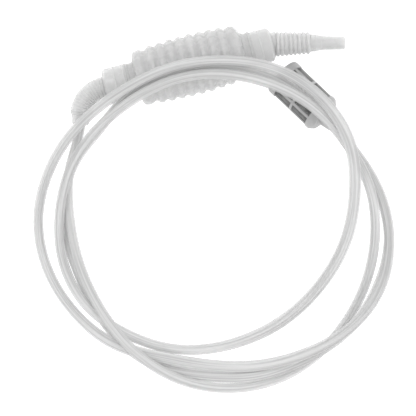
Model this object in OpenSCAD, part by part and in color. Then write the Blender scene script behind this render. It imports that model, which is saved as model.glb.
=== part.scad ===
// Hand siphon pump: a bellows bulb between two check valves, a bending spout, and a long
// clear hose that ends in a mesh strainer. It lies on a table with the hose in loose loops.
// Millimetres, +Z up, +X along the bellows towards the spout.

/* [Bellows] */
// Diameter over the middle ribs
bellows_d = 48; // [44:1:50]
// How much slimmer in radius the bulb is at its two shoulders
bellows_slim = 2.2; // [1:0.1:3]
// Length between the two end walls
bellows_len = 87.2; // [80:0.4:92]
// Number of small ribs between the two wide shoulders
rib_count = 8; // [6:1:10]
// Depth of the groove between two ribs
rib_depth = 1.8; // [1.2:0.1:3]
// Wall thickness of the blown plastic
wall = 1; // [0.8:0.1:1.2]

/* [Valve housings] */
// Outside diameter of the inlet housing
inlet_housing_d = 28.4; // [28:0.2:29.4]
// Outside diameter of the outlet housing
outlet_housing_d = 26.6; // [26:0.2:28]
// Outside diameter of the bulb's two necks
neck_d = 27.2; // [26.8:0.2:28]
// Diameter of the hole in a valve seat
seat_hole_d = 10; // [8:0.5:12]
// Diameter of a valve disc
disc_d = 15; // [14:0.5:17]
// How far a valve disc lifts off its seat
disc_lift = 2; // [1:0.5:2.5]

/* [Spout] */
// Angle between the ribbed part and the bellows as it lies, in degrees
ribs_angle = 12.3; // [5:0.1:15]
// Angle between the smooth tip and the bellows as it lies, in degrees
spout_angle = 14.8; // [5:0.2:20]
// Outside diameter of the ribbed part at its base
spout_d = 19.4; // [18:0.2:20]
// Length of the ribbed part
spout_ribs_len = 31.6; // [28:0.4:34]
// Outside diameter of the smooth tip
tip_d = 10.4; // [9.6:0.2:11]
// Bore of the smooth tip
tip_bore_d = 7.6; // [7:0.2:8]

/* [Elbow] */
// Radius of the elbow's centreline
elbow_r = 22; // [20:1:26]
// Angle that the elbow turns through, in degrees
elbow_turn = 70; // [60:5:80]

/* [Hose] */
// Outside diameter of the hose
hose_d = 8; // [7:0.5:8]

/* [Strainer] */
// Diameter over the strainer's two caps
strainer_d = 31.4; // [30:0.2:32]
// Length of the strainer without its nose
strainer_len = 48; // [46:1:50]
// Direction of the strainer in plan, in degrees from +X
strainer_turn = -59; // [-62:1:-56]
// How far the strainer's hose end is raised, in degrees
strainer_rise = 12; // [8:1:14]

/* [Hidden] */

// The model is drawn about the middle of the bellows, then moved so that the origin lies
// on the table under the middle of the pump.
pump_shift = [-10.8, 0.6, 0];
axis_z = bellows_d / 2;
fine = 72;
tiny = 0.02;

// Stations along the pump's axis, measured from the middle of the bellows
wall_x = bellows_len / 2;
neck_len = 6.5;
housing_start = wall_x + neck_len;
seat_x = wall_x + 14;
inlet_mouth_x = wall_x + 25.6;
outlet_mouth_x = wall_x + 23;
spout_x = outlet_mouth_x - 2.4;
shoulder_len = 11.4;
rib_pitch = (bellows_len - 2 * shoulder_len) / rib_count;
shoulder_r = bellows_d / 2 - bellows_slim;
neck_r = neck_d / 2;
neck_wall = 1.2;
valve_r = 10.8;
seat_t = 2;
disc_t = 1.5;
stop_t = 1.5;
ribs_start = 4.5;
plain_len = 4.8;
cone_len = 4.2;
tip_len = 18.4;
tip_chamfer = 1.4;

// The elbow leaves the housing along -X and turns towards -Y.
elbow_lead = 2.1;
elbow_tube_r = 8.2;
elbow_ridge = 0.7;
elbow_ridges = 11;
elbow_start = [-inlet_mouth_x - elbow_lead, 0];
elbow_end = elbow_start + elbow_r * [-sin(elbow_turn), cos(elbow_turn) - 1];
cuff_heading = 180 + elbow_turn;
cuff_len = 9;
cuff_r = 7.2;
cuff_socket = 7;
cuff_mouth = elbow_end + cuff_len * [cos(cuff_heading), sin(cuff_heading)];

// The strainer lies on the rim of its end cap, with its hose end raised.
cap_len = 7;
cage_r = 15.1;
mesh_r = 14;
nose_len = 12;
strainer_foot = [67.5, -25.35, strainer_d / 2 * cos(strainer_rise)];
strainer_way = [
    cos(strainer_rise) * cos(strainer_turn), cos(strainer_rise) * sin(strainer_turn),
    sin(strainer_rise)
];

// The hose lies in loose turns about this centre, anticlockwise from the elbow. A station
// stands every 18 degrees: [distance from the centre, height of the hose's centreline].
coil_centre = [-13.3, -125.95];
first_angle = 144;
station_step = 18;
hose_stations = [
    // First turn, from the elbow round to the top of the bellows
    [122.3, 14.8], [114.6, 12.5], [111, 12.5], [110.8, 17.5], [114.5, 24.5], [121.5, 17],
    [128, 6], [131.5, 4], [131.8, 4], [130, 4], [128.5, 5], [126.5, 18], [124, 34.5],
    [119.5, 48], [118, 57.5], [116.5, 59.3], [116, 58.6], [115.8, 58.8], [115, 56.2], [117.5, 40],
    // Second turn, the innermost at the front
    [121, 24.5], [122, 17.5], [123, 8], [118.9, 12.3], [110.5, 12.5], [104.5, 4],
    [98.5, 4], [94.3, 4], [93.2, 4], [94.2, 9], [97.9, 19], [104.2, 32], [112, 45],
    [121.7, 57.7], [127, 60.5], [128.5, 59.5], [126.5, 58.6], [125.3, 59], [125, 57], [129.5, 42.5],
    // Third turn, the outermost at the left and the right
    [136, 20.5], [139.5, 8], [137, 4], [130.5, 5], [122, 14], [112.5, 10.5], [111.1, 4],
    [115.1, 11], [122, 20], [132.3, 21], [139.5, 18], [138, 16], [130, 26], [121.3, 39],
    [120, 48.3], [121.5, 50.4], [121.5, 51.4], [121, 52.1], [120, 48], [117.2, 25.5],
    // Last stretch, under the others, to the strainer
    [121.6, 5.8], [119.2, 4], [115, 4], [114.5, 4], [118, 4], [120.5, 4], [119.9, 4],
    [123.3, 7.5], [127, 12.5], [133.7, 13], [137.8, 9.5], [138.2, 7.5], [129.5, 17], [121.3, 28]
];
hose_lead = [-102.3, -37.9, 21.8];
hose_sides = 10;

function unit(v) = v / norm(v);
function station_point(i) =
    let (angle = first_angle + station_step * i, s = hose_stations[i])
    [coil_centre.x + s[0] * cos(angle), coil_centre.y + s[0] * sin(angle), s[1]];
function along_strainer(distance) = strainer_foot + strainer_way * distance;
function along_cuff(distance) =
    let (p = cuff_mouth + distance * [cos(cuff_heading), sin(cuff_heading)])
    [p.x, p.y, axis_z];

hose_path = concat(
    [along_cuff(-cuff_socket), along_cuff(0), hose_lead],
    [for (i = [0 : len(hose_stations) - 1]) station_point(i)],
    [along_strainer(strainer_len + nose_len), along_strainer(strainer_len + 3)]
);

// Direction of a path at its point i
function heading(path, i) =
    unit(path[min(i + 1, len(path) - 1)] - path[max(i - 1, 0)]);

// A ring of points round point i of a path, square to the path
function ring(path, i, radius, sides) =
    let (
        way = heading(path, i),
        side = unit(cross(way, [0, 0, 1])),
        up = cross(side, way)
    )
    [for (k = [0 : sides - 1])
        let (a = 360 * k / sides)
        path[i] + radius * (cos(a) * side + sin(a) * up)];

// A round solid swept along a path
module swept(path, radius, sides) {
    rings = len(path);
    points = [for (i = [0 : rings - 1]) each ring(path, i, radius, sides)];
    skin = [for (i = [0 : rings - 2], k = [0 : sides - 1])
        let (a = i * sides + k, b = i * sides + (k + 1) % sides)
        each [[a, b, b + sides], [a, b + sides, a + sides]]];
    first_end = [for (k = [sides - 1 : -1 : 0]) k];
    last_end = [for (k = [0 : sides - 1]) (rings - 1) * sides + k];
    polyhedron(points = points, faces = concat(skin, [first_end, last_end]), convexity = 10);
}

// Places children, drawn about +Z, along the pump's axis towards +X
module on_axis(x = 0) {
    translate(pump_shift + [x, 0, axis_z]) rotate([0, 90, 0]) children();
}

// Places children, drawn about +Z, along the pump's axis towards -X
module on_axis_back(x = 0) {
    translate(pump_shift + [x, 0, axis_z]) rotate([0, -90, 0]) children();
}

// Places children, drawn about +Z, along the ribbed part of the spout
module on_ribs(distance = 0) {
    translate(pump_shift + [spout_x, 0, axis_z]) rotate([0, 0, -ribs_angle])
        translate([distance, 0, 0]) rotate([0, 90, 0]) children();
}

// Places children, drawn about +Z, along the spout's tip, from the end of its ribbed part
module on_tip(distance = 0) {
    translate(pump_shift + [spout_x, 0, axis_z]) rotate([0, 0, -ribs_angle])
        translate([spout_ribs_len, 0, 0]) rotate([0, 0, ribs_angle - spout_angle])
        translate([distance, 0, 0]) rotate([0, 90, 0]) children();
}

// Places children, drawn about +Z, along the strainer
module on_strainer(distance = 0) {
    translate(pump_shift + strainer_foot) rotate([0, 90 - strainer_rise, strainer_turn])
        translate([0, 0, distance]) children();
}

// A round solid from an outline of [radius, height] points
module turned(outline) {
    rotate_extrude($fn = fine) polygon(outline);
}

// A round tube between two heights
module ring_solid(outer_r, inner_r, length) {
    difference() {
        cylinder(r = outer_r, h = length, $fn = fine);
        translate([0, 0, -1]) cylinder(r = inner_r, h = length + 2, $fn = fine);
    }
}

// The outside radius of the bulb over a rib at x: the bulb is widest in its middle
function crest_r(x) = bellows_d / 2 - bellows_slim * pow(x / (wall_x - shoulder_len / 2), 2);

// The outline of the bellows' outer face, from one end wall to the other
function rib_outline(i) =
    let (
        x = -wall_x + shoulder_len + rib_pitch * (i + 0.5),
        crest = crest_r(x),
        groove_x = x + rib_pitch / 2
    )
    [
        [crest - 0.6, x - rib_pitch * 0.3], [crest, x - rib_pitch * 0.14],
        [crest, x + rib_pitch * 0.14], [crest - 0.6, x + rib_pitch * 0.3],
        [crest_r(groove_x) - rib_depth, groove_x]
    ];
shoulder_outline = [
    [neck_r + 0.8, 0], [neck_r + 3.4, 0.8], [shoulder_r - 2, 2], [shoulder_r - 0.5, 4],
    [shoulder_r, 6], [shoulder_r, 8], [shoulder_r - 0.7, 9.8],
    [crest_r(wall_x - shoulder_len) - rib_depth, shoulder_len]
];
bellows_outline = concat(
    [for (p = shoulder_outline) [p[0], p[1] - wall_x]],
    [for (i = [0 : rib_count - 1]) each rib_outline(i)],
    [for (k = [len(shoulder_outline) - 2 : -1 : 0])
        [shoulder_outline[k][0], wall_x - shoulder_outline[k][1]]]
);

// The blown bulb: eight small ribs between two wide shoulders, open at both ends
module bellows() {
    last = len(bellows_outline) - 1;
    inner = [for (k = [last : -1 : 0])
        let (p = bellows_outline[k], end = k == 0 || k == last)
        [p[0] - (end ? 2 : wall), end ? p[1] : p[1] * (1 - 2 * wall / bellows_len)]];
    color("whitesmoke") on_axis() turned(concat(bellows_outline, inner));
}

// The bulb's neck, from the end wall to its moulded bead
module neck() {
    color("whitesmoke") turned([
        [neck_r - neck_wall, 0], [neck_r + 0.8, 0], [neck_r + 0.3, 1], [neck_r, 2],
        [neck_r, neck_len - 2], [neck_r + 0.5, neck_len - 1.5], [neck_r + 0.5, neck_len - 0.5],
        [neck_r + 0.2, neck_len], [neck_r - neck_wall, neck_len]
    ]);
}

module inlet_neck() {
    on_axis_back(-wall_x) neck();
}

module outlet_neck() {
    on_axis(wall_x) neck();
}

// A valve housing pushed into the neck, from its rim to its end wall. hole_r is the hole
// in its end wall.
module housing(length, outer_r, hole_r) {
    spigot_len = 4;
    spigot_r = neck_r - neck_wall;
    color("whitesmoke") turned([
        [valve_r, -spigot_len], [spigot_r, -spigot_len], [spigot_r, 0], [outer_r, 0],
        [outer_r, length - 2.6], [outer_r - 0.8, length - 1.4], [outer_r - 3.2, length],
        [hole_r, length], [hole_r, length - 2], [valve_r, length - 3.5]
    ]);
}

module inlet_valve_body() {
    on_axis_back(-housing_start)
        housing(inlet_mouth_x - housing_start, inlet_housing_d / 2, elbow_tube_r - 1);
}

module outlet_valve_body() {
    on_axis(housing_start)
        housing(outlet_mouth_x - housing_start, outlet_housing_d / 2, spout_d / 2 - 2.2);
}

// A valve seat: a thin plate with a round hole
module seat() {
    color("gainsboro") ring_solid(valve_r, seat_hole_d / 2, seat_t);
}

// The inlet valve opens towards the bulb, so its seat is on the hose side of its disc.
module inlet_valve_seat() {
    on_axis(-seat_x - seat_t) seat();
}

module outlet_valve_seat() {
    on_axis(wall_x + 5.5) seat();
}

// A loose valve disc with a short guide pin
module disc() {
    color("gainsboro") {
        cylinder(r = disc_d / 2, h = disc_t, $fn = fine);
        translate([0, 0, disc_t - tiny]) cylinder(r = 1.4, h = 5, $fn = 32);
    }
}

module inlet_valve_disc() {
    on_axis(-seat_x + tiny) disc();
}

module outlet_valve_disc() {
    on_axis(wall_x + 5.5 + seat_t + tiny) disc();
}

// A spider that guides the disc's pin and stops the disc: a rim, a hub and four arms
module stop() {
    rim_r = valve_r;
    color("gainsboro") {
        ring_solid(rim_r, rim_r - 1.6, stop_t);
        ring_solid(3, 1.5, stop_t);
        for (a = [0 : 90 : 270])
            rotate([0, 0, a]) translate([2.6, -0.8, 0]) cube([rim_r - 3.6, 1.6, stop_t]);
    }
}

module inlet_valve_stop() {
    on_axis(-seat_x + disc_t + disc_lift + 0.3) stop();
}

module outlet_valve_stop() {
    on_axis(wall_x + 5.5 + seat_t + disc_t + disc_lift + 0.3) stop();
}

// The ribbed elbow between the inlet housing and the hose
module inlet_elbow() {
    bore_r = elbow_tube_r - 1.6;
    color("whitesmoke") {
        on_axis_back(-inlet_mouth_x + 2) ring_solid(elbow_tube_r - 1, bore_r, 2);
        on_axis_back(-inlet_mouth_x) ring_solid(elbow_tube_r, bore_r, elbow_lead);
        on_axis_back(-inlet_mouth_x - 0.4)
            ring_solid(elbow_tube_r + elbow_ridge, elbow_tube_r - 0.4, 1.2);
        translate(pump_shift + [elbow_start.x, -elbow_r, axis_z]) rotate([0, 0, 90]) {
            rotate_extrude(angle = elbow_turn, $fn = fine) translate([elbow_r, 0]) difference() {
                circle(r = elbow_tube_r, $fn = 48);
                circle(r = bore_r, $fn = 48);
            }
            for (i = [0 : elbow_ridges - 1])
                rotate([0, 0, elbow_turn * (i + 0.5) / elbow_ridges])
                    translate([elbow_r, 0.6, 0]) rotate([90, 0, 0])
                    ring_solid(elbow_tube_r + elbow_ridge, elbow_tube_r - 0.4, 1.2);
        }
    }
}

// The smooth end of the elbow, which holds the hose
module hose_cuff() {
    color("whitesmoke") translate(pump_shift + [elbow_end.x, elbow_end.y, axis_z])
        rotate([0, 90, cuff_heading]) difference() {
            union() {
                cylinder(r = elbow_tube_r, h = 2, $fn = fine);
                translate([0, 0, 2 - tiny])
                    cylinder(r1 = cuff_r, r2 = cuff_r - 0.8, h = cuff_len - 2 + tiny, $fn = fine);
            }
            translate([0, 0, -1]) cylinder(r = hose_d / 2 - 1, h = cuff_len, $fn = fine);
            translate([0, 0, cuff_len - cuff_socket])
                cylinder(r = hose_d / 2, h = cuff_socket + 1, $fn = fine);
        }
}

// The collar that holds the spout in the outlet housing, cut square to the ribbed part
module spout_collar() {
    bore_r = spout_d / 2 - 3.6;
    color("whitesmoke") difference() {
        union() {
            on_axis(outlet_mouth_x - 2) ring_solid(spout_d / 2 - 2.2, bore_r, 2);
            on_axis(outlet_mouth_x) ring_solid(spout_d / 2 - 0.9, bore_r, 5);
        }
        on_ribs(ribs_start) cylinder(r = 30, h = 20, $fn = fine);
    }
}

// The ribbed part of the spout, which bends
module spout_ribs() {
    ridges = 8;
    pitch = (spout_ribs_len - ribs_start) / ridges;
    narrowing = 0.15;
    ridge_outline = [for (i = [0 : ridges - 1])
        let (x = ribs_start + pitch * i, r = spout_d / 2 - narrowing * i)
        each [[r - 0.9, x], [r, x + pitch * 0.3], [r, x + pitch * 0.6], [r - 0.9, x + pitch]]];
    end_r = spout_d / 2 - narrowing * ridges - 0.9;
    color("whitesmoke") on_ribs() turned(concat(
        ridge_outline,
        [[end_r - 1.8, spout_ribs_len], [spout_d / 2 - 3.6, ribs_start]]
    ));
}

// The smooth end of the spout: a plain length, a short cone and the tip. Its base is cut
// flush with the end of the ribbed part.
module spout_tip() {
    tip_r = tip_d / 2;
    total = plain_len + cone_len + tip_len;
    color("whitesmoke") difference() {
        on_tip() turned([
            [tip_bore_d / 2, -0.6], [tip_r + 1.6, -0.6], [tip_r + 1.6, plain_len],
            [tip_r + 1.1, plain_len], [tip_r + 0.5, plain_len + cone_len],
            [tip_r, plain_len + cone_len], [tip_r, total - tip_chamfer], [tip_r - 0.8, total],
            [tip_bore_d / 2, total]
        ]);
        on_ribs(spout_ribs_len - 20) cylinder(r = 30, h = 20, $fn = fine);
    }
}

// The hose, from the cuff's socket to the strainer's nose
module hose() {
    color("gainsboro") translate(pump_shift) swept(hose_path, hose_d / 2, hose_sides);
}

// The tapered nose that holds the hose at the strainer's head
module strainer_nose() {
    color("lightgray") on_strainer(strainer_len) difference() {
        cylinder(r1 = 7, r2 = 4.9, h = nose_len, $fn = fine);
        translate([0, 0, 3]) cylinder(r = hose_d / 2, h = nose_len, $fn = fine);
        translate([0, 0, -1]) cylinder(r = hose_d / 2 - 1, h = nose_len, $fn = fine);
    }
}

// The strainer's hose end: a round cup with a flat end wall
module strainer_head() {
    r = strainer_d / 2;
    color("silver") on_strainer(strainer_len - cap_len) turned([
        [cage_r, 0], [r, 0], [r, cap_len - 3], [r - 1, cap_len - 1], [r - 3, cap_len],
        [3, cap_len], [3, cap_len - 2], [mesh_r - 1.4, cap_len - 2], [mesh_r - 1.4, 3], [cage_r, 3]
    ]);
}

// The cage: a tube with two rows of eight windows, which leave two end rings, a middle
// ring and eight ribs
module strainer_cage() {
    cage_len = strainer_len - 2 * cap_len + 6;
    window_len = (cage_len - 9) / 2;
    half_rib = 1.3;
    corner = half_rib / sin(22.5) * [cos(22.5), sin(22.5)];
    color("silver") on_strainer(cap_len - 3) difference() {
        ring_solid(cage_r, mesh_r, cage_len);
        for (z = [3, window_len + 6], a = [0 : 45 : 315])
            translate([0, 0, z]) rotate([0, 0, a]) linear_extrude(window_len)
                polygon([corner, corner + [30, 0], corner + 30 * [cos(45), sin(45)]]);
    }
}

// The sleeve of fine mesh inside the cage
module strainer_mesh() {
    color("dimgray") on_strainer(cap_len - 3) ring_solid(mesh_r, mesh_r - 0.4, strainer_len - 2 * cap_len + 6);
}

// The strainer's closed end
module strainer_end_cap() {
    r = strainer_d / 2;
    color("silver") on_strainer() turned([
        [0, 0], [r - 1.6, 0], [r - 0.5, 0.6], [r, 1.8], [r, cap_len], [cage_r, cap_len],
        [cage_r, cap_len - 3], [mesh_r - 1.4, cap_len - 3], [mesh_r - 1.4, 1.6], [0, 1.6]
    ]);
}

bellows();
inlet_neck();
outlet_neck();
inlet_valve_body();
outlet_valve_body();
inlet_valve_seat();
outlet_valve_seat();
inlet_valve_disc();
outlet_valve_disc();
inlet_valve_stop();
outlet_valve_stop();
inlet_elbow();
hose_cuff();
spout_collar();
spout_ribs();
spout_tip();
hose();
strainer_nose();
strainer_head();
strainer_cage();
strainer_mesh();
strainer_end_cap();
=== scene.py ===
"""Hand siphon pump: its looks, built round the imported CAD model. Lengths in this file are in
millimetres, and a point is measured from the middle of the bellows. Blender gets metres."""

import math

import bmesh
import bpy
import numpy as np
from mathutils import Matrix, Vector, noise


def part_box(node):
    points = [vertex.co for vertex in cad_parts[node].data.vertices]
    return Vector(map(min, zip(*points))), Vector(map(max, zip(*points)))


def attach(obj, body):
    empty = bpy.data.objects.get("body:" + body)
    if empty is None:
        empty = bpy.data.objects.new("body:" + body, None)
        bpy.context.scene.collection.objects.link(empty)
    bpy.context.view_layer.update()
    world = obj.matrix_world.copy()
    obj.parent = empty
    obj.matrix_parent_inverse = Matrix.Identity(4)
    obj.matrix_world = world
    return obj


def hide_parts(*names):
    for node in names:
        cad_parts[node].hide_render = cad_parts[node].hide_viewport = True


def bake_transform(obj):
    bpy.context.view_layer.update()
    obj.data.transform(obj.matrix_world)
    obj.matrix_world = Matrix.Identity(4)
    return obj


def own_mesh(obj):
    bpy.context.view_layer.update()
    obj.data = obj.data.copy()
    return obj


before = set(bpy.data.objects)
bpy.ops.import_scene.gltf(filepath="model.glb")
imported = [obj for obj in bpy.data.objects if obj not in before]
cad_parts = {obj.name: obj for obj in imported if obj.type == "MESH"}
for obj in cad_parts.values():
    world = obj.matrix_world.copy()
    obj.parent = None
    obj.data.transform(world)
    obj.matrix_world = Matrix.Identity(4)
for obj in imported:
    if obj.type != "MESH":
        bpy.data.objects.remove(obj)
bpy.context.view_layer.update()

MM = 0.001
bellows_low, bellows_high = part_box("bellows")
MIDDLE = (bellows_low + bellows_high) / 2
WALL_X = 43.6  # from the middle of the bellows to its end wall
HOUSING_START = WALL_X + 6.5
INLET_MOUTH_X, OUTLET_MOUTH_X = 69.2, 66.6
AXIS_Z = 24.0
PUMP_WAY = Vector((1, 0, 0))
INLET, OUTLET, SPOUT = "inlet_side", "outlet_side", "spout"


def place(x, y=0.0, z=0.0):
    """A point measured in millimetres from the middle of the bellows, in the model's frame."""
    return MIDDLE + Vector((x, y, z)) * MM


def heading(degrees):
    """A level direction, turned clockwise from the bellows' axis as seen from above."""
    angle = math.radians(degrees)
    return Vector((math.cos(angle), -math.sin(angle), 0))


# ---------------------------------------------------------------- camera, lights and floor

CAMERA_HEIGHT = 1476.0
VIEW_WIDTH = 325.7  # what the camera sees at the height of the bellows' middle
CAMERA_SPOT = (-14.82, -111.65, CAMERA_HEIGHT)
CAMERA_TURN = 14.6
SENSOR = 36.0


def make_camera():
    data = bpy.data.cameras.new("camera")
    data.sensor_width = SENSOR
    data.lens = SENSOR * CAMERA_HEIGHT / VIEW_WIDTH
    data.clip_start, data.clip_end = 0.05, 20
    camera = bpy.data.objects.new("camera", data)
    camera.location = place(*CAMERA_SPOT)
    camera.rotation_euler = (0, 0, math.radians(-CAMERA_TURN))
    bpy.context.scene.collection.objects.link(camera)
    bpy.context.scene.camera = camera


def area_light(name, position, target, size, power):
    data = bpy.data.lights.new(name, "AREA")
    data.shape = "RECTANGLE"
    data.size, data.size_y = size
    data.energy = power
    light = bpy.data.objects.new(name, data)
    light.location = position
    light.rotation_mode = "QUATERNION"
    light.rotation_quaternion = (Vector(target) - Vector(position)).to_track_quat("-Z", "Y")
    bpy.context.scene.collection.objects.link(light)


def make_stage():
    world = bpy.data.worlds.new("studio")
    world.use_nodes = True
    background = world.node_tree.nodes["Background"]
    background.inputs["Color"].default_value = (1, 1, 1, 1)
    background.inputs["Strength"].default_value = 1.0
    bpy.context.scene.world = world
    bpy.context.scene.view_settings.view_transform = "Standard"
    centre = (-0.02, -0.11, 0.02)  # lights are placed in metres
    area_light("key", (-0.35, 0.75, 1.3), centre, (0.22, 0.12), 3.2)
    area_light("side", (0.75, -0.75, 1.2), centre, (0.15, 0.15), 1.4)
    floor_mesh = bpy.data.meshes.new("floor")
    half = 6.0  # metres
    corners = [(-half, -half, 0), (half, -half, 0), (half, half, 0), (-half, half, 0)]
    floor_mesh.from_pydata(corners, [], [(0, 1, 2, 3)])
    floor = bpy.data.objects.new("floor", floor_mesh)
    bpy.context.scene.collection.objects.link(floor)
    paper = bpy.data.materials.new("floor_paper")
    paper.use_nodes = True
    shader = paper.node_tree.nodes["Principled BSDF"]
    shader.inputs["Base Color"].default_value = (0.5, 0.5, 0.5, 1)
    shader.inputs["Roughness"].default_value = 0.9
    shader.inputs["Specular IOR Level"].default_value = 0.1
    shader.inputs["Emission Color"].default_value = (1, 1, 1, 1)
    shader.inputs["Emission Strength"].default_value = 0.85
    floor_mesh.materials.append(paper)


make_camera()
make_stage()

# ---------------------------------------------------------------- materials


def noise_texture(tree, scale, detail, stretch=(1, 1, 1), attribute=None):
    """A noise texture on object coordinates, or on a vector attribute of the mesh. stretch
    scales the pattern along each axis."""
    if attribute:
        source = tree.nodes.new("ShaderNodeAttribute")
        source.attribute_name = attribute
        position = source.outputs["Vector"]
    else:
        position = tree.nodes.new("ShaderNodeTexCoord").outputs["Object"]
    mapping = tree.nodes.new("ShaderNodeMapping")
    mapping.inputs["Scale"].default_value = stretch
    texture = tree.nodes.new("ShaderNodeTexNoise")
    texture.inputs["Scale"].default_value = scale
    texture.inputs["Detail"].default_value = detail
    tree.links.new(position, mapping.inputs["Vector"])
    tree.links.new(mapping.outputs["Vector"], texture.inputs["Vector"])
    return texture.outputs["Fac"]


def ramp(tree, factor, stops):
    """A ramp of (position, grey) stops."""
    node = tree.nodes.new("ShaderNodeValToRGB")
    elements = node.color_ramp.elements
    while len(elements) < len(stops):
        elements.new(0.5)
    for element, (position, grey) in zip(elements, stops):
        element.position = position
        element.color = (grey, grey, grey, 1)
    tree.links.new(factor, node.inputs["Fac"])
    return node.outputs["Color"]


def spread(tree, factor, low, high):
    """A noise factor, which keeps mostly to the middle of its range, spread over low to high."""
    node = tree.nodes.new("ShaderNodeMapRange")
    node.inputs["From Min"].default_value, node.inputs["From Max"].default_value = 0.3, 0.7
    node.inputs["To Min"].default_value = low
    node.inputs["To Max"].default_value = high
    tree.links.new(factor, node.inputs["Value"])
    return node.outputs["Result"]


def bumps(tree, shader, layers):
    """Stacks bump nodes of (factor, strength, distance in millimetres) under the shader."""
    normal = None
    for factor, strength, distance in layers:
        node = tree.nodes.new("ShaderNodeBump")
        node.inputs["Strength"].default_value = strength
        node.inputs["Distance"].default_value = distance * MM
        tree.links.new(factor, node.inputs["Height"])
        if normal:
            tree.links.new(normal, node.inputs["Normal"])
        normal = node.outputs["Normal"]
    tree.links.new(normal, shader.inputs["Normal"])


# The pale streaks on drawn plastic are partly its own colour and partly painted highlight lines.
GRAIN_SCALE, HIGHLIGHT_STREAK_SCALE, SWELL_SCALE = 1400, 3.4, 1.3
HIGHLIGHT_STREAK_STRETCH, SWELL_STRETCH = (1, 1, 0.003), (1, 1, 0.012)  # long along a drawn tube


def plastic(name, pale, deep, rough, alpha=1.0, cloud=55, wave=0.3, ior=1.5, depth=0.0,
            drawn=False):
    """Moulded or drawn plastic: a cloudy tone between two greys, uneven gloss, slow waves and
    a fine grain. depth is how far light spreads under the surface. Drawn plastic has pale
    and dark streaks along its length: partly its own colour, partly painted highlight lines."""
    material = bpy.data.materials.new(name)
    material.use_nodes = True
    tree = material.node_tree
    shader = tree.nodes["Principled BSDF"]
    if drawn:
        # Pale and dark streaks round the tube: partly the plastic's own colour, partly painted
        # highlight lines.
        tint_and_highlight_streaks = noise_texture(tree, HIGHLIGHT_STREAK_SCALE, 2, HIGHLIGHT_STREAK_STRETCH, "round")
        swell = noise_texture(tree, SWELL_SCALE, 1, SWELL_STRETCH, "round")
    else:
        tint_and_highlight_streaks = noise_texture(tree, cloud, 4)
        swell = tint_and_highlight_streaks
    haze = noise_texture(tree, cloud * 4, 3)
    fine = noise_texture(tree, GRAIN_SCALE, 2)
    tree.links.new(ramp(tree, tint_and_highlight_streaks, [(0.38, deep), (0.62, pale)]), shader.inputs["Base Color"])
    tree.links.new(spread(tree, haze, rough - 0.05, rough + 0.08), shader.inputs["Roughness"])
    shader.inputs["IOR"].default_value = ior
    shader.inputs["Alpha"].default_value = alpha
    if depth:
        shader.inputs["Subsurface Weight"].default_value = 0.6
        shader.inputs["Subsurface Radius"].default_value = (1, 1, 1)
        shader.inputs["Subsurface Scale"].default_value = depth * MM
    bumps(tree, shader, [(swell, wave, 0.6), (haze, wave * 0.5, 0.15), (fine, 0.1, 0.02)])
    return material


BLOWN = plastic("blown_plastic", 0.68, 0.64, rough=0.26, alpha=0.72, depth=3)
HOUSING = plastic("housing_plastic", 0.74, 0.7, rough=0.22, alpha=0.75, depth=3)
RIBBED = plastic("ribbed_plastic", 0.74, 0.7, rough=0.26, alpha=0.72, depth=3)
VALVE = plastic("valve_plastic", 0.7, 0.65, rough=0.45)
# The hose's pale streaks are partly painted highlight lines.
CLEAR = plastic("clear_hose", 0.84, 0.6, rough=0.15, alpha=0.52, wave=0.6, ior=1.14, drawn=True)
STRAINER = plastic("strainer_plastic", 0.43, 0.37, rough=0.4, cloud=90)
WEAVE = plastic("strainer_mesh", 0.31, 0.21, rough=0.5, cloud=160)

# ---------------------------------------------------------------- building blocks

FILLET_SHARE = 0.48  # the most of a side that one fillet takes up
SMOOTH_ANGLE = 35
WOBBLE_SCALE, WOBBLE_FINER = 0.13, 2.7
FLATTENING = 0.7  # how much less high a pressed tube is for how much wider


def travelled(points):
    """The distance from the first point to each point, along the straight lines between them."""
    gaps = np.linalg.norm(np.diff(np.array(points, float), axis=0), axis=1)
    return np.concatenate([[0], np.cumsum(gaps)])


def spline(points, step):
    """A smooth curve through the points, sampled about every step: a cubic spline by chord."""
    points = np.array(points, float)
    gaps = np.linalg.norm(np.diff(points, axis=0), axis=1)
    knots = travelled(points)
    count = len(points)
    matrix = np.zeros((count, count))
    right = np.zeros_like(points)
    matrix[0, 0] = matrix[-1, -1] = 1
    for i in range(1, count - 1):
        before, after = gaps[i - 1], gaps[i]
        matrix[i, i - 1 : i + 2] = before, 2 * (before + after), after
        slopes = (points[i + 1] - points[i]) / after - (points[i] - points[i - 1]) / before
        right[i] = 6 * slopes
    bend = np.linalg.solve(matrix, right)
    samples = np.linspace(0, knots[-1], int(math.ceil(knots[-1] / step)) + 1)
    span = np.clip(np.searchsorted(knots, samples, side="right") - 1, 0, count - 2)
    gap = gaps[span][:, None]
    past = (samples - knots[span])[:, None]
    left = gap - past
    return (
        bend[span] * left**3 / (6 * gap) + bend[span + 1] * past**3 / (6 * gap)
        + (points[span] / gap - bend[span] * gap / 6) * left
        + (points[span + 1] / gap - bend[span + 1] * gap / 6) * past
    )


def filleted(corners, steps=5):
    """A closed outline with rounded corners: a corner is (along, radius) or has a fillet too."""
    outline = []
    for i, corner in enumerate(corners):
        here = Vector(corner[:2])
        if len(corner) < 3:
            outline.append(tuple(here))
            continue
        back = Vector(corners[i - 1][:2]) - here
        ahead = Vector(corners[(i + 1) % len(corners)][:2]) - here
        reach = corner[2] / math.tan(back.angle(ahead) / 2)
        reach = min(reach, back.length * FILLET_SHARE, ahead.length * FILLET_SHARE)
        first, last = here + back.normalized() * reach, here + ahead.normalized() * reach
        for k in range(steps + 1):
            t = k / steps
            outline.append(tuple(first.lerp(here, t).lerp(here.lerp(last, t), t)))
    return outline


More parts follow.
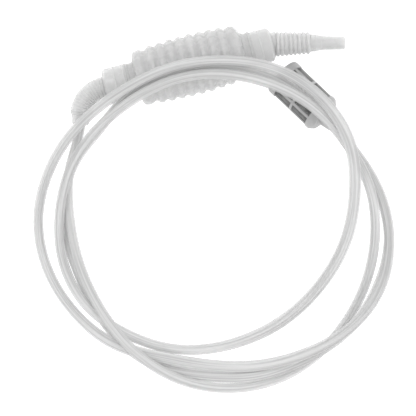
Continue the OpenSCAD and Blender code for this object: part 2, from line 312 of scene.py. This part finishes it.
def finished(name, points, faces, material, smooth_angle=SMOOTH_ANGLE):
    """A mesh object in the model's frame from points in metres."""
    mesh = bpy.data.meshes.new(name)
    mesh.from_pydata([tuple(p) for p in points], [], faces)
    work = bmesh.new()
    work.from_mesh(mesh)
    bmesh.ops.remove_doubles(work, verts=work.verts, dist=1e-7)
    bmesh.ops.recalc_face_normals(work, faces=work.faces)
    work.to_mesh(mesh)
    work.free()
    mesh.shade_smooth()
    mesh.set_sharp_from_angle(angle=math.radians(smooth_angle))
    mesh.materials.append(material)
    piece = bpy.data.objects.new(name, mesh)
    bpy.context.scene.collection.objects.link(piece)
    return piece


def crosswise(way):
    """Two directions square to way: one level, and one upwards."""
    side = way.cross(Vector((0, 0, 1))).normalized()
    return side, side.cross(way).normalized()


def turned(name, outline, origin, way, material, segments=96, seam=0.0, wobble=0.0):
    """A closed outline of (along, radius) millimetres turned about the line from origin along
    way. seam raises the two mould lines, and wobble makes the surface slightly uneven."""
    side, up = crosswise(way)
    points, faces = [], []
    rings = len(outline)
    for k in range(segments):
        angle = 2 * math.pi * k / segments
        out = side * math.cos(angle) + up * math.sin(angle)
        raised = seam if k % (segments // 2) == 0 else 0
        for along, radius in outline:
            if wobble and radius > 0:
                spot = (way * along + out * radius) * WOBBLE_SCALE
                fine = noise.noise(spot * WOBBLE_FINER)
                radius += wobble * noise.noise(spot) + wobble * 0.5 * fine
            if radius > 0:
                radius += raised
            points.append(origin + (way * along + out * radius) * MM)
        ahead = (k + 1) % segments
        for i in range(rings):
            j = (i + 1) % rings
            faces.append((k * rings + i, ahead * rings + i, ahead * rings + j, k * rings + j))
    return finished(name, points, faces, material)


def level_frames(path):
    """Two directions square to a path at each of its points: one level, and one upwards."""
    tangents = np.gradient(path, axis=0)
    tangents /= np.linalg.norm(tangents, axis=1)[:, None]
    sides = np.cross(tangents, (0, 0, 1))
    sides /= np.linalg.norm(sides, axis=1)[:, None]
    return sides, np.cross(sides, tangents)


def swept(name, path, outer, inner, material, sides=24, pressed=0.0):
    """A hollow tube along a path whose heights are measured from the table. outer and inner
    are radii, and pressed is how much wider than them, and a little less high, the tube is
    where it is pressed flat: each is one number for each point or one for all."""
    path = np.array(path, float)
    count = len(path)
    across, above = level_frames(path)
    angles = np.linspace(0, 2 * math.pi, sides, endpoint=False)
    pressed = np.broadcast_to(np.asarray(pressed, float), (count,))
    walls = []
    for radius in (outer, inner):
        radius = np.broadcast_to(np.asarray(radius, float), (count,))
        wide = (radius + pressed)[:, None, None] * np.cos(angles)[None, :, None]
        high = (radius - FLATTENING * pressed)[:, None, None] * np.sin(angles)[None, :, None]
        wall = path[:, None] + across[:, None] * wide + above[:, None] * high
        walls.append(wall.reshape(-1, 3))
    table = np.array((MIDDLE.x, MIDDLE.y, 0))
    points = np.concatenate(walls) * MM + table
    shift = count * sides
    faces = []
    for i in range(count - 1):
        for k in range(sides):
            a, b = i * sides + k, i * sides + (k + 1) % sides
            faces.append((a, b, b + sides, a + sides))
            faces.append((a + shift, a + sides + shift, b + sides + shift, b + shift))
    for ring in (0, (count - 1) * sides):
        for k in range(sides):
            a, b = ring + k, ring + (k + 1) % sides
            faces.append((a, b, b + shift, a + shift))
    piece = finished(name, points, faces, material)
    # Where each point is round the tube and along it, for streaks that follow the tube: partly its
    # own colour, partly painted highlight lines
    round_it = np.stack([
        np.tile(np.cos(angles), count), np.tile(np.sin(angles), count),
        np.repeat(travelled(path), sides),
    ], axis=1)
    attribute = piece.data.attributes.new("round", "FLOAT_VECTOR", "POINT")
    attribute.data.foreach_set("vector", np.concatenate([round_it, round_it]).ravel())
    return piece


# ---------------------------------------------------------------- hose

HOSE_R, HOSE_BORE_R = 4.0, 3.0
ELBOW_R = 22.0
ELBOW_TURN = math.radians(70)
ELBOW_LEAD = 2.1
CUFF_LEN, CUFF_SOCKET = 9.0, 7.0
ELBOW_START = np.array((-INLET_MOUTH_X - ELBOW_LEAD, 0, AXIS_Z))
ELBOW_END = ELBOW_START + ELBOW_R * np.array((-math.sin(ELBOW_TURN), math.cos(ELBOW_TURN) - 1, 0))
CUFF_WAY = np.array((-math.cos(ELBOW_TURN), -math.sin(ELBOW_TURN), 0))
CUFF_MOUTH = ELBOW_END + CUFF_WAY * CUFF_LEN

RISE, TURN = math.radians(12), math.radians(-59)
CAP_R = 15.7
STRAINER_LEN, NOSE_LEN = 48.0, 12.0
STRAINER_FOOT = np.array((67.5, -25.35, CAP_R * math.cos(RISE)))
STRAINER_WAY = np.array(
    (math.cos(RISE) * math.cos(TURN), math.cos(RISE) * math.sin(TURN), math.sin(RISE))
)

# The turns lie round this centre, anticlockwise, with a station at each step of the angle:
# distance out and height above the table.
COIL_CENTRE = (-13.3, -125.95)
FIRST_ANGLE, STATION_STEP = 144, 18
HOSE_LEAD = (-102.3, -37.9, 21.8)
STATIONS = [
    # First turn, from the elbow round to the top of the bellows
    (122.3, 14.8), (114.6, 12.5), (111, 12.5), (110.8, 17.5), (114.5, 24.5), (121.5, 17),
    (128, 6), (131.5, 4), (131.8, 4), (130, 4), (128.5, 5), (126.5, 18), (124, 34.5),
    (119.5, 48), (118, 57.5), (116.5, 59.3), (116, 58.6), (115.8, 58.8), (115, 56.2), (117.5, 40),
    # Second turn, the innermost at the front
    (121, 24.5), (122, 17.5), (123, 8), (118.9, 12.3), (110.5, 12.5), (104.5, 4),
    (98.5, 4), (94.3, 4), (93.2, 4), (94.2, 9), (97.9, 19), (104.2, 32), (112, 45),
    (121.7, 57.7), (127, 60.5), (128.5, 59.5), (126.5, 58.6), (125.3, 59), (125, 57), (129.5, 42.5),
    # Third turn, the outermost at the left and the right
    (136, 20.5), (139.5, 8), (137, 4), (130.5, 5), (122, 14), (112.5, 10.5), (111.1, 4),
    (115.1, 11), (122, 20), (132.3, 21), (139.5, 18), (138, 16), (130, 26), (121.3, 39),
    (120, 48.3), (121.5, 50.4), (121.5, 51.4), (121, 52.1), (120, 48), (117.2, 25.5),
    # Last stretch, under the others, to the strainer
    (121.6, 5.8), (119.2, 4), (115, 4), (114.5, 4), (118, 4), (120.5, 4), (119.9, 4),
    (123.3, 7.5), (127, 12.5), (133.7, 13), (137.8, 9.5), (138.2, 7.5), (129.5, 17), (121.3, 28),
]


def station(i):
    angle = math.radians(FIRST_ANGLE + STATION_STEP * i)
    out, height = STATIONS[i]
    return (
        COIL_CENTRE[0] + out * math.cos(angle), COIL_CENTRE[1] + out * math.sin(angle), height
    )


def along_strainer(distance):
    return STRAINER_FOOT + STRAINER_WAY * distance


hose_route = [
    CUFF_MOUTH - CUFF_WAY * CUFF_SOCKET, CUFF_MOUTH, HOSE_LEAD,
    *[station(i) for i in range(len(STATIONS))],
    along_strainer(STRAINER_LEN + NOSE_LEN), along_strainer(STRAINER_LEN + 3),
]
hose_line = spline(hose_route, 3.0)
hose_line[:, 2] = np.maximum(hose_line[:, 2], HOSE_R)

# Where the hose is pressed a little flat: (station, how much wider in radius)
PRESSED = [(25.5, 0), (28, 0.75), (33, 0.75), (35, 0), (43, 0), (44.5, 0.55), (47, 0.55),
           (50, 0), (62.5, 0), (64.5, 0.55), (67, 0.55), (70, 0)]
POINTS_BEFORE_STATIONS = 3
route_knots = travelled(hose_route)
line_knots = np.linspace(0, route_knots[-1], len(hose_line))
route_stations = np.arange(len(hose_route)) - POINTS_BEFORE_STATIONS
line_stations = np.interp(line_knots, route_knots, route_stations)
hose = swept("hose_tube", hose_line, HOSE_R, HOSE_BORE_R, CLEAR,
             pressed=np.interp(line_stations, *zip(*PRESSED)))
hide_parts("hose")
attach(hose, INLET)

# ---------------------------------------------------------------- bellows

RIB_COUNT, SHOULDER_LEN = 8, 11.4
RIB_PITCH = 2 * (WALL_X - SHOULDER_LEN) / RIB_COUNT
BELLOWS_R, SLIM, RIB_DEPTH, WALL, NECK_BORE_R = 24.0, 2.2, 1.8, 1.0, 12


def crest(x):
    """The bulb's radius over a rib at x: it is widest in its middle."""
    return BELLOWS_R - SLIM * (x / (WALL_X - SHOULDER_LEN / 2)) ** 2


def bellows_outline():
    """The blown bulb's outline: rounded ribs between two wide rounded shoulders."""
    inlet_shoulder = [(0, 14), (0.3, 17.1), (1.3, 20), (2.6, 21.1), (4.5, 21.6), (6.2, 21.8),
                      (8.2, 21.3), (9.8, 20.5)]
    outlet_shoulder = [(0, 13.8), (1, 16.3), (2, 18.2), (3, 19.8), (4.3, 21.1), (6, 21.6),
                       (8.2, 21.6), (9.9, 20.8)]
    ribs = [(-WALL_X + x, r) for x, r in inlet_shoulder]
    for i in range(RIB_COUNT):
        start = -WALL_X + SHOULDER_LEN + RIB_PITCH * i
        for t, rise in ((0, 0), (0.17, 0.3), (0.32, 0.84), (0.5, 1), (0.68, 0.84), (0.83, 0.3)):
            x = start + RIB_PITCH * t
            ribs.append((x, crest(x) - RIB_DEPTH * (1 - rise)))
    ribs.append((WALL_X - SHOULDER_LEN, crest(WALL_X - SHOULDER_LEN) - RIB_DEPTH))
    ribs += [(WALL_X - x, r) for x, r in reversed(outlet_shoulder)]
    outer = [tuple(p) for p in spline(ribs, 0.55)]
    inner = [(x * (1 - WALL / WALL_X), max(r - WALL, NECK_BORE_R)) for x, r in outer[::-2]]
    return outer + inner


bellows = turned("bellows_skin", bellows_outline(), place(0), PUMP_WAY, BLOWN,
                 segments=120, seam=0.12, wobble=0.22)
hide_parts("bellows")
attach(bellows, INLET)
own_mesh(bellows)

# ---------------------------------------------------------------- necks and valve housings

NECK = filleted([
    (-0.6, 12.4), (-0.6, 14.6), (0.6, 14.3, 0.5), (2.2, 13.6, 0.8), (4.4, 13.55, 0.4),
    (5, 14.1, 0.4), (6.2, 14.1, 0.3), (6.5, 13.8), (6.5, 12.4),
])


def housing(length, r, rings, hole_r):
    """A housing from its spigot to its end wall, with fine raised rings of (along, height)."""
    outline = [(-4, 10.8), (-4, 12.4), (0, 12.4), (0, r, 0.6)]
    for x, height in rings:
        outline += [(x - 0.8, r, 0.3), (x - 0.3, r + height, 0.25), (x + 0.3, r + height, 0.25),
                    (x + 0.8, r, 0.3)]
    return filleted(outline + [
        (length - 2.5, r, 0.9), (length - 1.3, r - 0.9, 0.7), (length, r - 3.4, 0.6),
        (length, hole_r), (length - 2, hole_r), (length - 3.5, 10.8),
    ])


for side, sign, body, mouth_x, r, rings, hole_r in (
    ("inlet", -1, INLET, INLET_MOUTH_X, 14.2, ((2, 0.45), (9.5, 0.4)), 7.2),
    ("outlet", 1, OUTLET, OUTLET_MOUTH_X, 13.3, ((6.6, 0.4),), 7.5),
):
    way = PUMP_WAY * sign
    neck = turned(f"{side}_neck_skin", NECK, place(sign * WALL_X), way, BLOWN,
                  seam=0.12, wobble=0.05)
    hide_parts(f"{side}_neck")
    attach(neck, body)
    outline = housing(mouth_x - HOUSING_START, r, rings, hole_r)
    shell = turned(f"{side}_housing_skin", outline, place(sign * HOUSING_START), way, HOUSING,
                   seam=0.08, wobble=0.05)
    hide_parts(f"{side}_valve_body")
    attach(shell, body)

# ---------------------------------------------------------------- elbow and cuff

TUBE_R, TUBE_WALL, RIDGE_PITCH = 8.4, 1.5, 2.3
RIDGE, GROOVE = 0.32, 0.15  # above and below the tube's radius
ROUNDNESS = 0.8  # under 1, the ridges are wider than the grooves


def elbow():
    """The ribbed elbow: a short straight lead, then the bend, with close round ridges."""
    step = 0.28
    tucked, slimmer = 2.0, 1.0  # the end inside the housing, and how much it is turned down
    start_x = tucked - INLET_MOUTH_X
    lead = [(start_x - s, 0, AXIS_Z) for s in np.arange(0, tucked + ELBOW_LEAD, step)]
    arc_steps = int(ELBOW_R * ELBOW_TURN / step)
    arc = []
    for k in range(arc_steps + 1):
        angle = ELBOW_TURN * k / arc_steps
        bend = np.array((-math.sin(angle), math.cos(angle) - 1, 0))
        arc.append(tuple(ELBOW_START + ELBOW_R * bend))
    path = np.array(lead + arc)
    travel = travelled(path)
    wave = 0.5 - 0.5 * np.cos(2 * math.pi * (travel - tucked) / RIDGE_PITCH)
    radius = TUBE_R - GROOVE + (RIDGE + GROOVE) * wave**ROUNDNESS
    radius[travel < tucked] = TUBE_R - slimmer
    piece = swept("elbow_skin", path, radius, radius - TUBE_WALL, RIBBED,
                  sides=72)
    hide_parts("inlet_elbow")
    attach(piece, INLET)


def cuff():
    """The plain end of the elbow, which the hose is pushed into."""
    outline = filleted([
        (0, 3), (0, 8.2, 0.3), (1.6, 8.1, 0.6), (2.4, 7.2, 0.6), (CUFF_LEN, 6.5, 0.5),
        (CUFF_LEN, 4.02), (CUFF_LEN - CUFF_SOCKET, 4.02), (CUFF_LEN - CUFF_SOCKET, 3),
    ])
    x, y, _ = ELBOW_END
    piece = turned("cuff_skin", outline, place(x, y), Vector(CUFF_WAY), RIBBED,
                   segments=72, seam=0.06)
    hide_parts("hose_cuff")
    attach(piece, INLET)


elbow()
cuff()

# ---------------------------------------------------------------- spout

RIBS_WAY, TIP_WAY = heading(12.3), heading(14.8)
SPOUT_R, RIBS_START, RIBS_LEN = 9.7, 4.5, 31.6
RIDGES, NARROWING, RIBS_WALL = 8, 0.15, 1.7
SPOUT_INSET = 2.4  # how far inside the housing's mouth the ribbed part starts


def ribbed_outline():
    pitch = (RIBS_LEN - RIBS_START) / RIDGES
    outer = []
    for i in range(RIDGES):
        x, r = RIBS_START + pitch * i, SPOUT_R - NARROWING * i
        outer += [(x + pitch * t, r - drop) for t, drop in
                  ((0.02, 1.1), (0.18, 0.66), (0.32, 0.1), (0.5, 0), (0.66, 0.1), (0.82, 0.66))]
    end_r = SPOUT_R - NARROWING * RIDGES - 1.05
    outer.append((RIBS_LEN, end_r))
    smooth = [tuple(p) for p in spline(outer, 0.25)]
    inner = [(x, r - RIBS_WALL) for x, r in smooth[::-3]]
    return smooth + inner


mouth = place(OUTLET_MOUTH_X - SPOUT_INSET)
ribs = turned("spout_ribs_skin", ribbed_outline(), mouth, RIBS_WAY, RIBBED,
              seam=0.06, wobble=0.08)
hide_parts("spout_ribs")
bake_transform(ribs)

TIP_BORE_R, TIP_LEN = 3.8, 27.4
TIP = filleted([
    (0, TIP_BORE_R), (0, 6.9, 0.4), (1.2, 6.75, 0.5), (4.8, 6.7, 0.4), (5.1, 6.3, 0.3),
    (8.8, 5.75, 0.4), (9.1, 5.4, 0.2), (TIP_LEN - 1.2, 5.05, 0.9), (TIP_LEN, 4.3, 0.3),
    (TIP_LEN, TIP_BORE_R, 0.3),
])
tip = turned("spout_tip_skin", TIP, mouth + RIBS_WAY * RIBS_LEN * MM, TIP_WAY, RIBBED,
             seam=0.07)
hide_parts("spout_tip")
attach(tip, SPOUT)

# ---------------------------------------------------------------- strainer

CAP_LEN, CAGE_R, MESH_R = 7.0, 15.1, 14.0
CAGE_TUCK = 3  # how far the cage and the mesh reach into each cap
CAGE_START, CAGE_END = CAP_LEN - CAGE_TUCK, STRAINER_LEN - CAP_LEN + CAGE_TUCK
CAGE_RIBS, RIB_HALF, CAGE_EDGE = 8, 1.3, 0.35
END_RING, MIDDLE_RING = 3, 2.2
foot = place(STRAINER_FOOT[0], STRAINER_FOOT[1], STRAINER_FOOT[2] - AXIS_Z)
strainer_way = Vector(STRAINER_WAY)
strainer_side, strainer_up = crosswise(strainer_way)
L = STRAINER_LEN  # short, for the outlines


def strainer_part(name, corners, node, segments=96):
    piece = turned(name, filleted(corners), foot, strainer_way, STRAINER,
                   segments=segments)
    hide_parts(node)
    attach(piece, INLET)
    return piece


nose = strainer_part("strainer_nose_skin", [
    (L - 0.2, 3), (L - 0.2, 8), (L + 0.8, 7.1, 0.8), (L + NOSE_LEN, 4.95, 0.4),
    (L + NOSE_LEN, 4.02), (L + 3, 4.02), (L + 3, 3),
], "strainer_nose", segments=64)
head = strainer_part("strainer_head_skin", [
    (L - CAP_LEN, 15.0), (L - CAP_LEN, CAP_R, 0.3), (L - 3.6, CAP_R, 2.5), (L, 12.6, 1.6),
    (L, 3), (L - 2, 3), (L - 2, 12.4), (L - 4, 12.6), (L - 4, 15.0),
], "strainer_head")
end_cap = strainer_part("strainer_end_skin", [
    (0, 0), (0, CAP_R - 1.6, 0.4), (0.5, CAP_R - 0.5, 0.5), (2, CAP_R, 0.7), (CAP_LEN, CAP_R, 0.3),
    (CAP_LEN, 15.0), (CAP_LEN - 3, 15.0), (CAP_LEN - 3, 12.6), (1.6, 12.6), (1.6, 0),
], "strainer_end_cap")


def outward(angle):
    """The direction straight out of the strainer's side, at an angle about its middle line."""
    return strainer_side * math.cos(angle) + strainer_up * math.sin(angle)


def cage():
    """Two end rings, a middle ring and the ribs, all with softened edges."""
    middle = (CAGE_START + CAGE_END) / 2
    points, faces = [], []

    def add_ring(low, width):
        high = low + width
        outline = filleted([
            (low, MESH_R), (low, CAGE_R, CAGE_EDGE), (high, CAGE_R, CAGE_EDGE), (high, MESH_R),
        ])
        segments, rings = 96, len(outline)
        base = len(points)
        for k in range(segments):
            out = outward(2 * math.pi * k / segments)
            points.extend(foot + (strainer_way * x + out * r) * MM for x, r in outline)
            ahead = (k + 1) % segments
            for i in range(rings):
                j = (i + 1) % rings
                faces.append((base + k * rings + i, base + ahead * rings + i,
                              base + ahead * rings + j, base + k * rings + j))

    def add_rib(angle):
        out = outward(angle)
        across = strainer_way.cross(out)
        low, high = MESH_R - 0.05, CAGE_R - 0.05  # a little under the rings, so no faces meet
        section = filleted([
            (-RIB_HALF, low), (-RIB_HALF, high, CAGE_EDGE), (RIB_HALF, high, CAGE_EDGE),
            (RIB_HALF, low),
        ], 3)
        base, count = len(points), len(section)
        for x in (CAGE_START + 1, CAGE_END - 1):
            points.extend(foot + (strainer_way * x + across * w + out * r) * MM
                          for w, r in section)
        for i in range(count):
            j = (i + 1) % count
            faces.append((base + i, base + j, base + count + j, base + count + i))
        faces.append(tuple(base + i for i in range(count)))
        faces.append(tuple(base + count + i for i in reversed(range(count))))

    add_ring(CAGE_START, END_RING)
    add_ring(middle - MIDDLE_RING / 2, MIDDLE_RING)
    add_ring(CAGE_END - END_RING, END_RING)
    for k in range(CAGE_RIBS):
        add_rib(2 * math.pi * k / CAGE_RIBS)
    piece = finished("strainer_cage_skin", points, faces, STRAINER)
    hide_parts("strainer_cage")
    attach(piece, INLET)
    return piece


def weave():
    """The woven sleeve: wires along the strainer and round it, over and under each other."""
    wire, radius, lift = 0.26, MESH_R - 0.55, 0.24
    wires, ring_gap = 96, 0.9
    length = CAGE_END - CAGE_START
    rings = int(length / ring_gap)
    points, faces = [], []

    def spot(x, turn, r):
        out = outward(turn)
        return strainer_way * x + out * r, out

    def add_wire(centres, outs, ways, closed):
        base = len(points)
        count = len(centres)
        for centre, out, way in zip(centres, outs, ways):
            across = way.cross(out).normalized()
            for dx, dy in ((1, 0), (0, 1), (-1, 0), (0, -1)):
                points.append(foot + (centre + (across * dx + out * dy) * wire) * MM)
        for i in range(count if closed else count - 1):
            j = (i + 1) % count
            for k in range(4):
                m = (k + 1) % 4
                here, ahead = base + 4 * i, base + 4 * j
                faces.append((here + k, here + m, ahead + m, ahead + k))
        if not closed:
            faces.append(tuple(base + k for k in range(4)))
            faces.append(tuple(base + 4 * (count - 1) + k for k in reversed(range(4))))

    for w in range(wires):
        turn = 2 * math.pi * w / wires
        centres, outs = [], []
        for i in range(rings * 2 + 1):
            over = lift * math.cos(math.pi * (i / 2 + w))
            centre, out = spot(CAGE_START + length * i / (rings * 2), turn, radius + over)
            centres.append(centre)
            outs.append(out)
        add_wire(centres, outs, [strainer_way] * len(centres), False)
    for ring in range(rings + 1):
        centres, outs, ways = [], [], []
        for i in range(wires * 2):
            turn = math.pi * i / wires
            over = -lift * math.cos(math.pi * (i / 2 + ring))
            centre, out = spot(CAGE_START + length * ring / rings, turn, radius + over)
            centres.append(centre)
            outs.append(out)
            ways.append(strainer_way.cross(out))
        add_wire(centres, outs, ways, True)
    piece = finished("strainer_weave", points, faces, WEAVE, 80)
    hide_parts("strainer_mesh")
    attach(piece, INLET)
    return piece


strainer_pieces = [nose, head, end_cap, cage(), weave()]

# ---------------------------------------------------------------- parts kept from the CAD

valve_nodes = [f"{side}_valve_{part}" for part in ("seat", "disc", "stop")
               for side in ("inlet", "outlet")]
for node_name, material, slot_name in (
    *((valve_node, VALVE, "valve_plastic") for valve_node in valve_nodes),
    ("spout_collar", RIBBED, "ribbed_plastic"),
):
    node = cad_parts[node_name]
    node.data.materials.clear()
    node.data.materials.append(material)
    node.data.shade_smooth()
    node.data.set_sharp_from_angle(angle=math.radians(SMOOTH_ANGLE))

bpy.context.view_layer.update()
